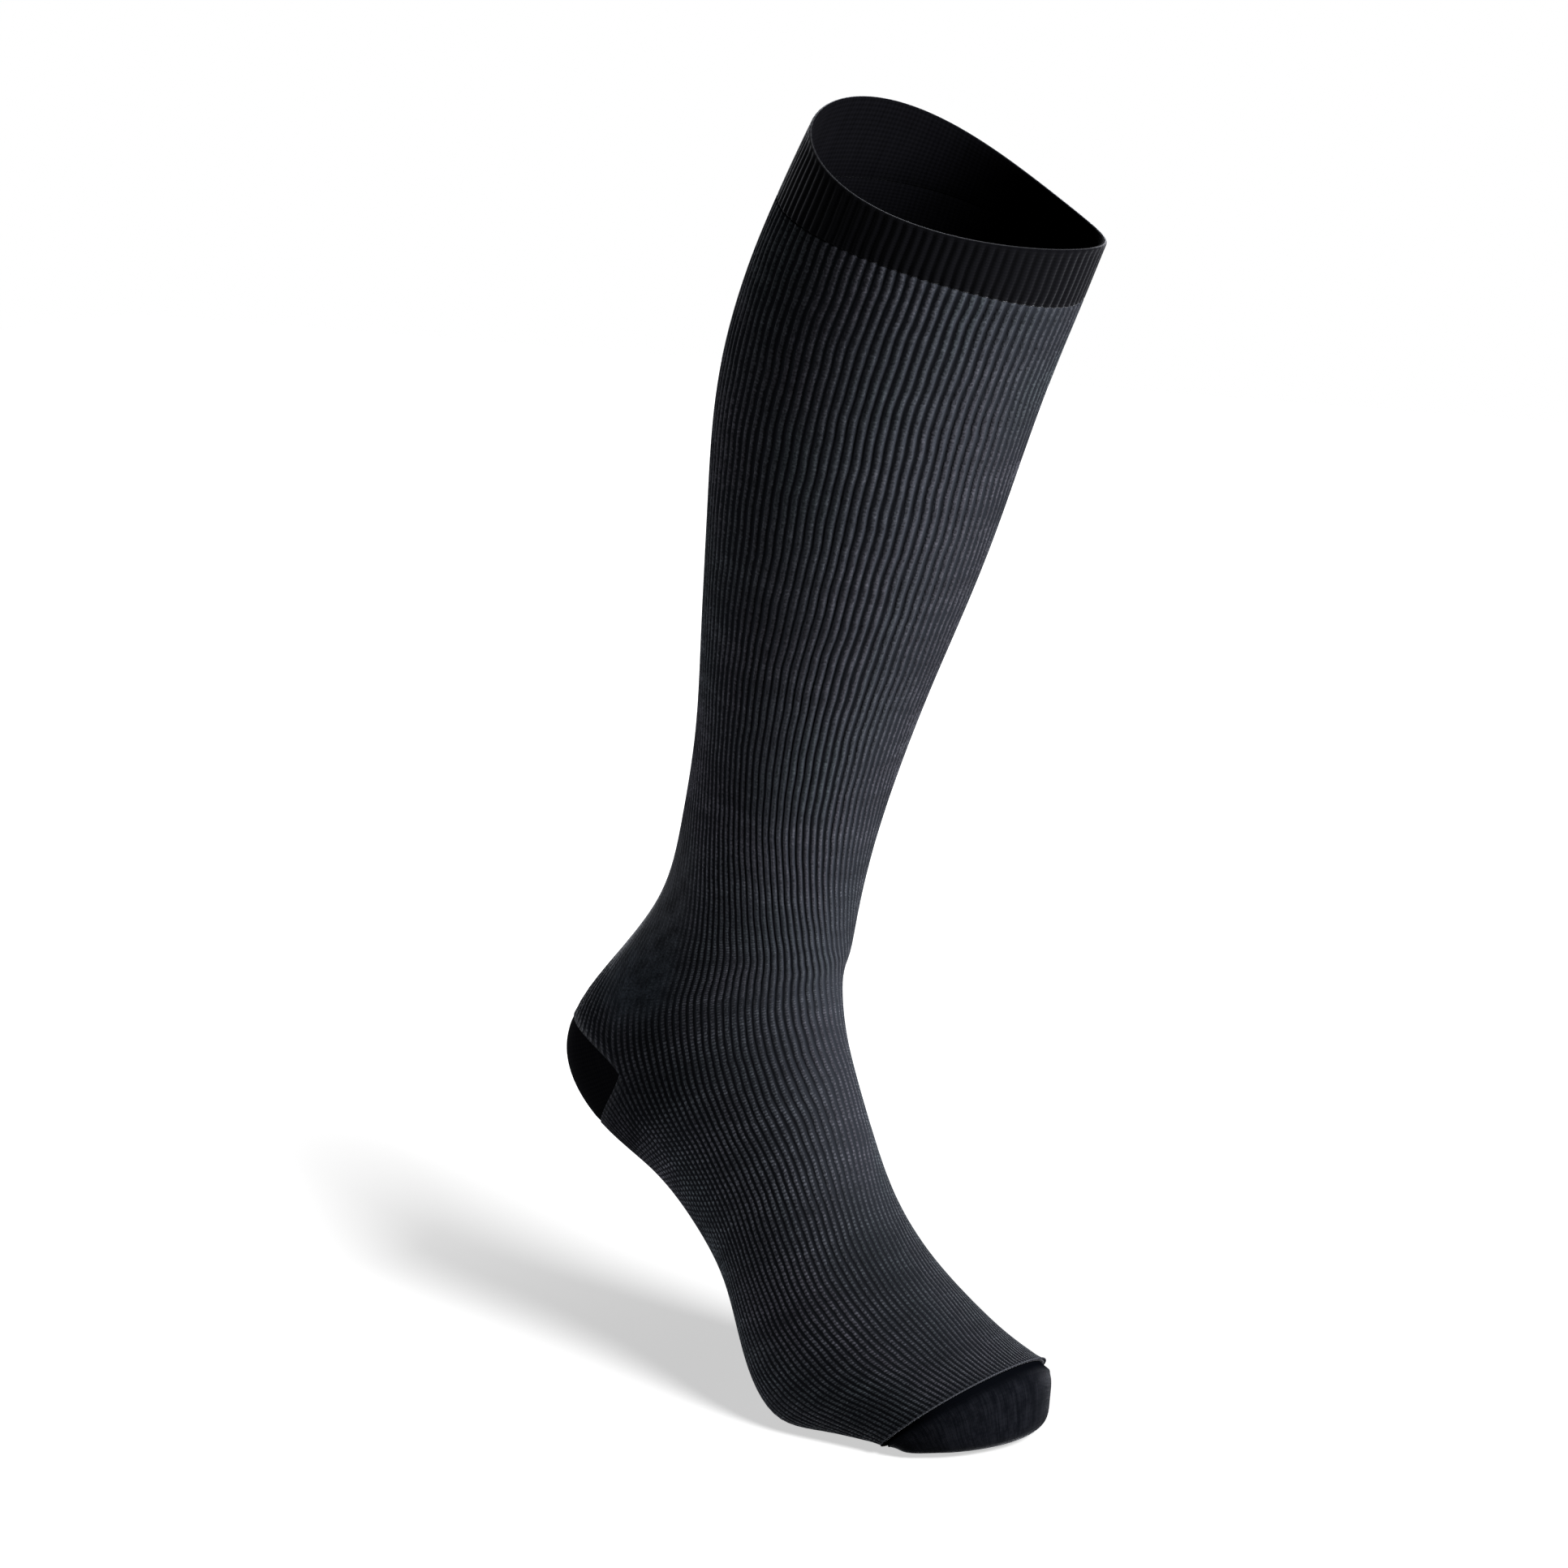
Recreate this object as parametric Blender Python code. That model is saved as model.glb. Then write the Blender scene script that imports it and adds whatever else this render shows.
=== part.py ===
# Knee-high compression stocking in its worn form, standing on the ball of the foot, heel raised.
#
# One ribbed knitted tube runs from the top band to the toe seam. The band, the heel pocket and
# the toe cap are knitted in other yarn and are pieces of their own, set 0.3 mm apart.
#
# Frame: metres, +Z up, toes towards +X, the same on both sides of the plane y = 0.
# The origin is the centre of the top opening, where the leg holds the stocking.

import bmesh
import bpy
import numpy as np

MM = 0.001

# Knit, in millimetres
RIB_COUNT = 96
POINTS_PER_RIB = 2      # a crest and a valley
OUTER_COLUMNS = RIB_COUNT * POINTS_PER_RIB
INNER_COLUMNS = 48      # the inside of the wall is plain
OUTER_PER_INNER = OUTER_COLUMNS // INNER_COLUMNS
WALL = 1.2              # cloth under the valleys
RIB_HEIGHT = 0.45
SEAM_GAP = 0.3

# Each row is one section across the stocking, in millimetres and degrees.
# x, z: its centre. tilt: how far its front edge points above the horizontal.
# depth: front to back. width: side to side. egg: how much narrower the front is than the back.
# front_power, back_power: 2 is an ellipse, more is squarer. saddle: how far front and back rise.
# stretch: how much wider than the mean the ribs stand at the front, and closer at the back.
# turn: how many ribs the knit is turned round the wearer's leg.
COLUMNS = (
    "x", "z", "tilt", "depth", "width", "egg", "front_power", "back_power", "saddle", "stretch",
    "turn"
)
TUBE_SECTIONS = {
    "rim":        (-1, 0, -26, 116, 113, 0.22, 2.0, 2.0, 5, 0.00, 10),
    "band edge":  (-12, -21.5, -21, 118, 116, 0.22, 2.0, 2.0, 0, -0.03, 10),
    "upper calf": (-27, -53, -21, 118, 118, 0.20, 2.0, 2.0, 0, -0.06, 10),
    "calf":       (-40, -87, -19, 116, 114, 0.16, 2.0, 2.0, 0, -0.04, 9.5),
    "lower calf": (-52, -132, -16, 104, 105, 0.12, 2.0, 2.0, 0, 0.05, 8.5),
    "shin":       (-65, -177, -15, 89, 90, 0.06, 2.0, 2.0, 0, 0.12, 8),
    "low shin":   (-76, -217, -14, 78, 76, 0.00, 2.0, 2.0, 0, 0.15, 7.5),
    "ankle":      (-85, -250, -11, 75, 67, 0.00, 2.0, 2.0, 0, 0.12, 6),
    "low ankle":  (-93, -276, -4, 79, 66, 0.00, 2.0, 2.0, 0, 0.03, 4),
    "above heel": (-106, -297, 6, 101, 67, 0.00, 2.0, 2.0, 0, -0.09, 2),
    "heel":       (-119, -320, 18, 128, 66, 0.00, 2.0, 2.0, 0, -0.15, 0.5),
    "under heel": (-112, -341, 26, 119, 66, 0.00, 2.0, 2.0, 0, 0.00, -0.5),
    "arch":       (-96, -360, 31, 95, 68, 0.00, 2.0, 2.0, 0, 0.20, -2),
    "mid foot":   (-81, -382, 34, 78, 72, 0.00, 2.0, 2.0, 0, 0.25, -3),
    "instep":     (-69, -403, 35, 69, 78, 0.00, 2.0, 2.1, 0, 0.20, -2.5),
    "ball":       (-53, -429, 36, 75, 86, 0.00, 2.0, 2.5, 0, 0.06, -1),
    "toe roots":  (-35, -445, 37, 77, 89, 0.00, 2.0, 3.0, 0, -0.06, 0),
    "toes":       (-15, -450, 36, 62, 88, 0.05, 2.0, 3.4, 0, -0.10, 1),
    "toe seam":   (6, -453, 39, 47, 84, 0.15, 2.0, 3.6, 0, -0.10, 2),
}
CAP_SECTIONS = {
    "cap top":    (10, -456, 32, 46, 81, 0.20, 2.0, 3.6, 0, 0, 0),
    "cap front":  (12, -461, 20, 40, 76, 0.25, 2.0, 3.6, 0, 0, 0),
    "cap low":    (13, -466, 8, 34, 68, 0.25, 2.0, 3.6, 0, 0, 0),
    "cap sole":   (12, -468, 0, 22, 50, 0.20, 2.0, 3.0, 0, 0, 0),
}

# Rows of the mesh, as reach along the stocking from the rim, in millimetres
BAND_END = 24.2
BAND_ROWS = 2
LEG_ROW_REACH = (63, 91, 120, 169, 225, 266, 289, 306, 332, 342, 350)
FOOT_ROW_REACH = (371, 398, 421, 443, 459, 477, 490, 499, 507, 521)
LIP_HEIGHT = 0.4        # the foot's edge stands proud of the toe cap
CAP_ROWS = 8
CAP_COLUMNS = 60
CAP_STEP = 0.6          # how far the toe cap's surface lies under the foot's

# Heel pocket: a lens between two courses of the tube, its points at the sides of the heel
HEEL = {
    "reach": 359.5,     # of the two points
    "half_ribs": 16,    # from the back of the heel to a point
    "rise": 25,         # of the upper edge at the back, in reach
    "drop": 12,         # of the lower edge at the back, in reach
    "bluntness": 0.6,   # 1 is a round lens, less is blunter
    "fade_up": 95,      # courses above bend with the pocket over this reach
    "fade_down": 60,
    "rows": 6,
    "sink": 0.2,        # its plain surface lies this far under the rib crests
    "point_gap": 0.36,  # between its points and the slit's
    "rib_pitch": 3.3,   # along the course through its points
}

YARNS = {
    "top_band": ((0.006, 0.006, 0.007), 0.85),
    "leg_and_foot": ((0.030, 0.031, 0.038), 0.80),
    "heel_pocket": ((0.005, 0.005, 0.006), 0.85),
    "toe_cap": ((0.010, 0.010, 0.013), 0.75),
}


# Steps that the form is measured with
STATIONS = 150          # sections along the stocking at which the ribs are spaced out
RING_STEPS = 1440       # points round each of them
SHORT_REACH = 0.2
SHORT_TURN = 0.01
WELD = 0.000002         # metres; points this close are one
SHARP_EDGE = 50         # degrees


def natural_spline(knots, values, at):
    # the smooth curve through the values, with no bend at its two ends
    last = len(knots) - 1
    gaps = np.diff(knots)
    slopes = np.diff(values) / gaps
    system = np.eye(last + 1)
    bend = np.zeros(last + 1)
    for i in range(1, last):
        system[i, i - 1:i + 2] = gaps[i - 1], 2 * (gaps[i - 1] + gaps[i]), gaps[i]
        bend[i] = 6 * (slopes[i] - slopes[i - 1])
    bend = np.linalg.solve(system, bend)
    i = np.clip(np.searchsorted(knots, at) - 1, 0, last - 1)
    gap = gaps[i]
    past = at - knots[i]
    left = knots[i + 1] - at
    cubic = (bend[i] * left ** 3 + bend[i + 1] * past ** 3) / (6 * gap)
    start = (values[i] / gap - bend[i] * gap / 6) * left
    end = (values[i + 1] / gap - bend[i + 1] * gap / 6) * past
    return cubic + start + end


def make_form(sections):
    # a table of sections with the reach of each: the mean of the way its front and back have come
    form = dict(zip(COLUMNS, np.array(list(sections.values()), float).T))
    tilt = np.radians(form["tilt"])
    edge = form["depth"][:, None] / 2 * np.stack([np.cos(tilt), np.sin(tilt)], 1)
    centre = np.stack([form["x"], form["z"]], 1)
    front_way = np.linalg.norm(np.diff(centre + edge, axis=0), axis=1)
    back_way = np.linalg.norm(np.diff(centre - edge, axis=0), axis=1)
    form["knots"] = np.concatenate([[0], np.cumsum((front_way + back_way) / 2)])
    return form


def point_on(form, reach, angle):
    # the place on the outer form at a reach and an angle round the section, 0 at the front
    section = {name: natural_spline(form["knots"], form[name], reach) for name in COLUMNS}
    ahead, across = np.cos(angle), np.sin(angle)
    power = np.where(ahead > 0, section["front_power"], section["back_power"])
    ahead_share = np.sign(ahead) * np.abs(ahead) ** (2 / power)
    across_share = np.sign(across) * np.abs(across) ** (2 / power)
    forward = section["depth"] / 2 * ahead_share
    side = section["width"] / 2 * across_share * (1 - section["egg"] * ahead_share)
    lift = section["saddle"] * np.cos(2 * angle)
    tilt = np.radians(section["tilt"])
    x = section["x"] + forward * np.cos(tilt) - lift * np.sin(tilt)
    z = section["z"] + forward * np.sin(tilt) + lift * np.cos(tilt)
    return np.stack([x, side, z], -1)


def outward(form, reach, angle):
    # the unit normal of the form, from short steps along and round its surface
    ahead = point_on(form, np.minimum(reach + SHORT_REACH, form["knots"][-1]), angle)
    behind = point_on(form, np.maximum(reach - SHORT_REACH, 0), angle)
    right = point_on(form, reach, angle + SHORT_TURN)
    left = point_on(form, reach, angle - SHORT_TURN)
    normal = np.cross(ahead - behind, right - left)
    return normal / np.linalg.norm(normal, axis=-1, keepdims=True)


def rib_angles(form, reach, share):
    # the angle behind which a share of the ribs lies, from 0 to 1 round the section
    stations = np.linspace(0, form["knots"][-1], STATIONS)
    dense = np.linspace(0, 2 * np.pi, RING_STEPS + 1)
    middle = (dense[1:] + dense[:-1]) / 2
    stretch = natural_spline(form["knots"], form["stretch"], stations)
    turned = natural_spline(form["knots"], form["turn"], stations) / RIB_COUNT
    table = []
    for station, front, turn in zip(stations, stretch, turned):
        ring = point_on(form, np.full(dense.shape, station), dense)
        way = np.linalg.norm(np.diff(ring, axis=0), axis=1)
        ribs = np.concatenate([[0], np.cumsum(way * (1 - front * np.cos(middle)))])
        place = share[0] - turn
        rounds = np.floor(place)
        table.append(np.interp(place - rounds, ribs / ribs[-1], dense) + 2 * np.pi * rounds)
    table = np.array(table)
    station = np.clip(reach / stations[1], 0, STATIONS - 1)
    low = np.minimum(station.astype(int), STATIONS - 2)
    column = np.arange(share.shape[1])[None, :]
    return table[low, column] + (station - low) * (table[low + 1, column] - table[low, column])


def wall_points(form, reach, share, inset, seam_row=None):
    # points of the wall in metres, each set in from the form's surface
    angle = rib_angles(form, reach, share)
    way_out = outward(form, reach, angle)
    if seam_row is not None:
        # walls that meet at the toe seam are both set in along its plane, so neither crosses it
        tilt = np.radians(form["tilt"][seam_row])
        axis = np.array([-np.sin(tilt), 0, np.cos(tilt)])
        flat = way_out[seam_row] - (way_out[seam_row] @ axis)[:, None] * axis
        way_out[seam_row] = flat / (flat ** 2).sum(axis=1, keepdims=True)
    inset = np.broadcast_to(inset, reach.shape)
    return (point_on(form, reach, angle) - way_out * inset[..., None]) * MM


def grid_of(reaches, columns):
    # the reach of each point, and its share of the way round, on a grid of rows and columns
    share = np.arange(columns) / columns
    return np.meshgrid(np.array(reaches, float), share, indexing="ij")


def pocket_lens(share):
    # 1 at the back of the heel, 0 at the pocket's points and all the way round the front
    off_back = np.clip(np.abs(share - 0.5) * RIB_COUNT / HEEL["half_ribs"], 0, 1)
    return (1 - off_back ** 2) ** HEEL["bluntness"]


def ease(t):
    t = np.clip(t, 0, 1)
    return t * t * (3 - 2 * t)


def level(reach, share):
    # courses of the band lie straight across
    return reach


def above_pocket(reach, share):
    # courses between the band and the heel bend to run along the pocket's upper edge
    near = ease(1 - (HEEL["reach"] - reach) / HEEL["fade_up"])
    return reach - HEEL["rise"] * near * pocket_lens(share)


def below_pocket(reach, share):
    near = ease(1 - (reach - HEEL["reach"]) / HEEL["fade_down"])
    return reach + HEEL["drop"] * near * pocket_lens(share)


def tube_walls(form, bend, reaches, seam_row=None):
    # the outer points, crest and valley in turn, and the plain inner points of a ribbed wall
    reach, share = grid_of(reaches, OUTER_COLUMNS)
    inset = np.where(np.arange(OUTER_COLUMNS) % POINTS_PER_RIB, RIB_HEIGHT, 0.0) + 0 * reach
    if seam_row is not None:
        inset[seam_row] -= LIP_HEIGHT
    outer = wall_points(form, bend(reach, share), share, inset, seam_row)
    reach, share = grid_of(reaches, INNER_COLUMNS)
    inner = wall_points(form, bend(reach, share), share, WALL + RIB_HEIGHT, seam_row)
    return outer, inner


class Shell:
    # gathers the points and faces of one closed wall
    def __init__(self):
        self.points = []
        self.faces = []

    def grid(self, points, wraps):
        # a sheet of four-sided faces; returns the numbers of its points
        rows, columns = points.shape[:2]
        number = len(self.points) + np.arange(rows * columns).reshape(rows, columns)
        self.points.extend(points.reshape(-1, 3).tolist())
        for i in range(rows - 1):
            for j in range(columns if wraps else columns - 1):
                k = (j + 1) % columns
                self.faces.append((number[i, j], number[i, k], number[i + 1, k], number[i + 1, j]))
        return number

    def rim(self, outer, inner):
        # the edge of the wall, one face from each inner point to the next
        step = (len(outer) - 1) // (len(inner) - 1)
        for q in range(len(inner) - 1):
            self.faces.append((*outer[q * step:(q + 1) * step + 1], inner[q + 1], inner[q]))

    def closed_rim(self, outer, inner):
        self.rim(np.append(outer, outer[0]), np.append(inner, inner[0]))

    def fan(self, ring, centre):
        tip = len(self.points)
        self.points.append(centre.tolist())
        for j in range(len(ring)):
            self.faces.append((ring[j], ring[(j + 1) % len(ring)], tip))

    def make(self, name):
        mesh = bpy.data.meshes.new(name)
        mesh.from_pydata(self.points, [], [tuple(int(n) for n in face) for face in self.faces])
        body = bmesh.new()
        body.from_mesh(mesh)
        bmesh.ops.remove_doubles(body, verts=body.verts, dist=WELD)
        bmesh.ops.triangulate(body, faces=body.faces)
        bmesh.ops.recalc_face_normals(body, faces=body.faces)
        body.to_mesh(mesh)
        body.free()
        mesh.shade_smooth()
        mesh.set_sharp_from_angle(angle=np.radians(SHARP_EDGE))
        mesh.materials.append(yarn(name))
        piece = bpy.data.objects.new(name, mesh)
        bpy.context.scene.collection.objects.link(piece)


def yarn(name):
    colour, roughness = YARNS[name]
    material = bpy.data.materials.new(name)
    material.use_nodes = True
    shader = material.node_tree.nodes["Principled BSDF"]
    shader.inputs["Base Color"].default_value = (*colour, 1)
    shader.inputs["Roughness"].default_value = roughness
    shader.inputs["Metallic"].default_value = 0
    return material


def make_top_band(form):
    reaches = np.linspace(0, BAND_END - SEAM_GAP, BAND_ROWS + 1)
    outer, inner = tube_walls(form, level, reaches)
    shell = Shell()
    outer = shell.grid(outer, wraps=True)
    inner = shell.grid(inner, wraps=True)
    shell.closed_rim(outer[0], inner[0])
    shell.closed_rim(outer[-1], inner[-1])
    shell.make("top_band")


def make_leg_and_foot(form):
    # two ribbed walls that share the course through the pocket's points, but for a slit behind
    leg_outer, leg_inner = tube_walls(form, above_pocket, (BAND_END, *LEG_ROW_REACH, HEEL["reach"]))
    foot_reaches = (HEEL["reach"], *FOOT_ROW_REACH, form["knots"][-1])
    foot_outer, foot_inner = tube_walls(form, below_pocket, foot_reaches, seam_row=-1)
    shell = Shell()
    leg_outer = shell.grid(leg_outer, wraps=True)
    leg_inner = shell.grid(leg_inner, wraps=True)
    foot_outer = shell.grid(foot_outer, wraps=True)
    foot_inner = shell.grid(foot_inner, wraps=True)
    shell.closed_rim(leg_outer[0], leg_inner[0])
    shell.closed_rim(foot_outer[-1], foot_inner[-1])
    half = HEEL["half_ribs"] * POINTS_PER_RIB
    outer_slit = slice(OUTER_COLUMNS // 2 - half, OUTER_COLUMNS // 2 + half + 1)
    half = half // OUTER_PER_INNER
    inner_slit = slice(INNER_COLUMNS // 2 - half, INNER_COLUMNS // 2 + half + 1)
    shell.rim(leg_outer[-1, outer_slit], leg_inner[-1, inner_slit])
    shell.rim(foot_outer[0, outer_slit], foot_inner[0, inner_slit])
    shell.make("leg_and_foot")


def pocket_points(form, columns, inset):
    # a lens that fills the slit, drawn in by the seam gap on all sides
    half = HEEL["half_ribs"] / RIB_COUNT
    across = np.linspace(-half, half, columns + 1)
    lens = pocket_lens(0.5 + across)
    half_width = HEEL["half_ribs"] * HEEL["rib_pitch"]
    share = 0.5 + across * (1 - HEEL["point_gap"] / half_width)
    upper = HEEL["reach"] - (HEEL["rise"] - SEAM_GAP) * lens
    lower = HEEL["reach"] + (HEEL["drop"] - SEAM_GAP) * lens
    down = np.linspace(0, 1, HEEL["rows"] + 1)[:, None]
    reach = upper + (lower - upper) * down
    return wall_points(form, reach, share + 0 * reach, inset)


def make_heel_pocket(form):
    outer_columns = 2 * HEEL["half_ribs"] * POINTS_PER_RIB
    shell = Shell()
    outer = shell.grid(pocket_points(form, outer_columns, HEEL["sink"]), wraps=False)
    inner_columns = outer_columns // OUTER_PER_INNER
    inner = shell.grid(pocket_points(form, inner_columns, WALL + RIB_HEIGHT), wraps=False)
    shell.rim(outer[0], inner[0])
    shell.rim(outer[-1], inner[-1])
    shell.make("heel_pocket")


def cap_sections():
    # the toe cap starts at the toe seam, moved off it by the seam gap, with its own columns
    seam = dict(zip(COLUMNS, TUBE_SECTIONS["toe seam"]))
    tilt = np.radians(seam["tilt"])
    seam["x"] += SEAM_GAP * np.sin(tilt)
    seam["z"] -= SEAM_GAP * np.cos(tilt)
    seam["stretch"] = 0
    seam["turn"] = 0
    return {"toe seam": tuple(seam.values()), **CAP_SECTIONS}


def make_toe_cap(form):
    # a bowl that closes on the sole, its rim slanting from the sole up to the top of the toes
    reaches = np.linspace(0, form["knots"][-1], CAP_ROWS + 1)
    reach, share = grid_of(reaches, CAP_COLUMNS)
    outer = wall_points(form, reach, share, CAP_STEP, seam_row=0)
    inner = wall_points(form, reach, share, CAP_STEP + WALL, seam_row=0)
    shell = Shell()
    outer_number = shell.grid(outer, wraps=True)
    inner_number = shell.grid(inner, wraps=True)
    shell.closed_rim(outer_number[0], inner_number[0])
    shell.fan(outer_number[-1], outer[-1].mean(axis=0))
    shell.fan(inner_number[-1], inner[-1].mean(axis=0))
    shell.make("toe_cap")


for old in list(bpy.data.objects):
    bpy.data.objects.remove(old, do_unlink=True)

tube = make_form(TUBE_SECTIONS)
cap = make_form(cap_sections())
make_top_band(tube)
make_leg_and_foot(tube)
make_heel_pocket(tube)
make_toe_cap(cap)
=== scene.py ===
import bmesh
import bpy
import numpy as np
from mathutils import Matrix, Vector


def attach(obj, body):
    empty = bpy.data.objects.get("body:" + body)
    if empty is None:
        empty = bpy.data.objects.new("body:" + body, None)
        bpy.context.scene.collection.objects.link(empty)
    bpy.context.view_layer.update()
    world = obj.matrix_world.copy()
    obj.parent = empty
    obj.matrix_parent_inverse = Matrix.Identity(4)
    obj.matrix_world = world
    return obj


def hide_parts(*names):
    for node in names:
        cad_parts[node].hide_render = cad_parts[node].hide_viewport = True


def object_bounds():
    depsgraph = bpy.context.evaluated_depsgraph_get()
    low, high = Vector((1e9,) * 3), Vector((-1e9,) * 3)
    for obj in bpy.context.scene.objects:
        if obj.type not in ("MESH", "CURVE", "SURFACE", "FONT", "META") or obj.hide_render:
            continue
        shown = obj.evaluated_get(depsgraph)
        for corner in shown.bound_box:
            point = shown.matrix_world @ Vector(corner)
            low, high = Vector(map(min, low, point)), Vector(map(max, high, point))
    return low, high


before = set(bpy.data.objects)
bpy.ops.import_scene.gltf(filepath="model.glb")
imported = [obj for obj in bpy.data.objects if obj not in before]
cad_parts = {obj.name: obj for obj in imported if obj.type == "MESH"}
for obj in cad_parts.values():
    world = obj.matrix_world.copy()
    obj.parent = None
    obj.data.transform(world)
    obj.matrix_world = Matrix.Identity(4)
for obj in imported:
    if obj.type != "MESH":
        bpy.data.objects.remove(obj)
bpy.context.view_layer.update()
print("Solids loaded:", ", ".join(sorted(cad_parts)))

mm = 0.001

# Sections across the stocking, in millimetres and degrees.
# x, z: centre. tilt: of the front edge above the horizontal. depth: front to back. width: side to side.
# egg: how much narrower the front is. powers: 2 is an ellipse, more is squarer.
# saddle: rise of front and back. stretch: how much wider than the mean the ribs stand at the front.
# turn: how many ribs the knit is turned.
sectionColumns = (
    "x", "z", "tilt", "depth", "width", "egg", "frontPower", "backPower", "saddle", "stretch", "turn"
)
tubeSections = {
    "rim":        (-1, 0, -26, 116, 113, 0.22, 2.0, 2.0, 5, 0.00, 10),
    "band edge":  (-12, -21.5, -21, 118, 116, 0.22, 2.0, 2.0, 0, -0.03, 10),
    "upper calf": (-27, -53, -21, 118, 118, 0.20, 2.0, 2.0, 0, -0.06, 10),
    "calf":       (-40, -87, -19, 116, 114, 0.16, 2.0, 2.0, 0, -0.04, 9.5),
    "lower calf": (-52, -132, -16, 104, 105, 0.12, 2.0, 2.0, 0, 0.05, 8.5),
    "shin":       (-65, -177, -15, 89, 90, 0.06, 2.0, 2.0, 0, 0.12, 8),
    "low shin":   (-76, -217, -14, 78, 76, 0.00, 2.0, 2.0, 0, 0.15, 7.5),
    "ankle":      (-85, -250, -11, 75, 67, 0.00, 2.0, 2.0, 0, 0.12, 6),
    "low ankle":  (-93, -276, -4, 79, 66, 0.00, 2.0, 2.0, 0, 0.03, 4),
    "above heel": (-106, -297, 6, 101, 67, 0.00, 2.0, 2.0, 0, -0.09, 2),
    "heel":       (-119, -320, 18, 128, 66, 0.00, 2.0, 2.0, 0, -0.15, 0.5),
    "under heel": (-112, -341, 26, 119, 66, 0.00, 2.0, 2.0, 0, 0.00, -0.5),
    "arch":       (-96, -360, 31, 95, 68, 0.00, 2.0, 2.0, 0, 0.20, -2),
    "mid foot":   (-81, -382, 34, 78, 72, 0.00, 2.0, 2.0, 0, 0.25, -3),
    "instep":     (-69, -403, 35, 69, 78, 0.00, 2.0, 2.1, 0, 0.20, -2.5),
    "ball":       (-53, -429, 36, 75, 86, 0.00, 2.0, 2.5, 0, 0.06, -1),
    "toe roots":  (-35, -445, 37, 77, 89, 0.00, 2.0, 3.0, 0, -0.06, 0),
    "toes":       (-15, -450, 36, 62, 88, 0.05, 2.0, 3.4, 0, -0.10, 1),
    "toe seam":   (6, -453, 39, 47, 84, 0.15, 2.0, 3.6, 0, -0.10, 2),
}
capSections = {
    "cap top":    (10, -456, 32, 46, 81, 0.20, 2.0, 3.6, 0, 0, 0),
    "cap front":  (12, -461, 20, 40, 76, 0.25, 2.0, 3.6, 0, 0, 0),
    "cap low":    (13, -466, 8, 34, 68, 0.25, 2.0, 3.6, 0, 0, 0),
    "cap sole":   (12, -468, 0, 22, 50, 0.20, 2.0, 3.0, 0, 0, 0),
}

knit = {
    "ribs": 96,
    "pointsPerRib": 6,
    "wall": 1.2,            # cloth under the valleys
    "ribHeight": 0.45,
    "coursePitch": 1.4,     # rows of stitches along the stocking
    "seamGap": -0.06,       # stitched edges press a little into each other
    "edgeBulge": 0.6,       # how far a cut edge rounds out
    "edgeSteps": 5,
}
measure = {"stations": 150, "ringSteps": 1440, "shortReach": 0.2, "shortTurn": 0.01, "weld": 0.000002,
           "leastFlat": 0.2, "girthSteps": 60}
outerDepth, innerDepth = 0.0, 1.0      # share of the way through the wall

def smoothCurve(knots, values, at):
    # cubic spline, unbent at its ends: on a gap g with ends a, b and bends A, B, p past a and q before b,
    # y = (A q^3 + B p^3) / 6g + (a / g - A g / 6) q + (b / g - B g / 6) p
    last = len(knots) - 1
    gaps = np.diff(knots)
    slopes = np.diff(values) / gaps
    system = np.eye(last + 1)
    bend = np.zeros(last + 1)
    for i in range(1, last):
        system[i, i - 1:i + 2] = gaps[i - 1], 2 * (gaps[i - 1] + gaps[i]), gaps[i]
        bend[i] = 6 * (slopes[i] - slopes[i - 1])
    bend = np.linalg.solve(system, bend)
    i = np.clip(np.searchsorted(knots, at) - 1, 0, last - 1)
    g, p, q = gaps[i], at - knots[i], knots[i + 1] - at
    cubic = (bend[i] * q ** 3 + bend[i + 1] * p ** 3) / (6 * g)
    return cubic + (values[i] / g - bend[i] * g / 6) * q + (values[i + 1] / g - bend[i + 1] * g / 6) * p

def makeForm(sections):
    # sections with the reach of each: the mean of the way its front and back edges have come
    form = dict(zip(sectionColumns, np.array(list(sections.values()), float).T))
    tilt = np.radians(form["tilt"])
    edge = form["depth"][:, None] / 2 * np.stack([np.cos(tilt), np.sin(tilt)], 1)
    centre = np.stack([form["x"], form["z"]], 1)
    ways = [np.linalg.norm(np.diff(centre + side * edge, axis=0), axis=1) for side in (1, -1)]
    form["knots"] = np.concatenate([[0], np.cumsum(sum(ways) / 2)])
    form["end"] = form["knots"][-1]
    form["ribTable"] = ribTable(form)
    return form

def pointOn(form, reach, angle):
    # a point of the outer form: centre + depth/2 cos^(2/power) ahead
    # + width/2 sin^(2/power) (1 - egg ahead) aside + saddle cos(2 angle) up, turned by the section's tilt
    section = {name: smoothCurve(form["knots"], form[name], reach) for name in sectionColumns[:-2]}
    ahead, across = np.cos(angle), np.sin(angle)
    power = np.where(ahead > 0, section["frontPower"], section["backPower"])
    aheadShare = np.sign(ahead) * np.abs(ahead) ** (2 / power)
    acrossShare = np.sign(across) * np.abs(across) ** (2 / power)
    forward = section["depth"] / 2 * aheadShare
    side = section["width"] / 2 * acrossShare * (1 - section["egg"] * aheadShare)
    lift = section["saddle"] * np.cos(2 * angle)
    tilt = np.radians(section["tilt"])
    x = section["x"] + forward * np.cos(tilt) - lift * np.sin(tilt)
    z = section["z"] + forward * np.sin(tilt) + lift * np.cos(tilt)
    return np.stack([x, side, z], -1)

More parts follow.
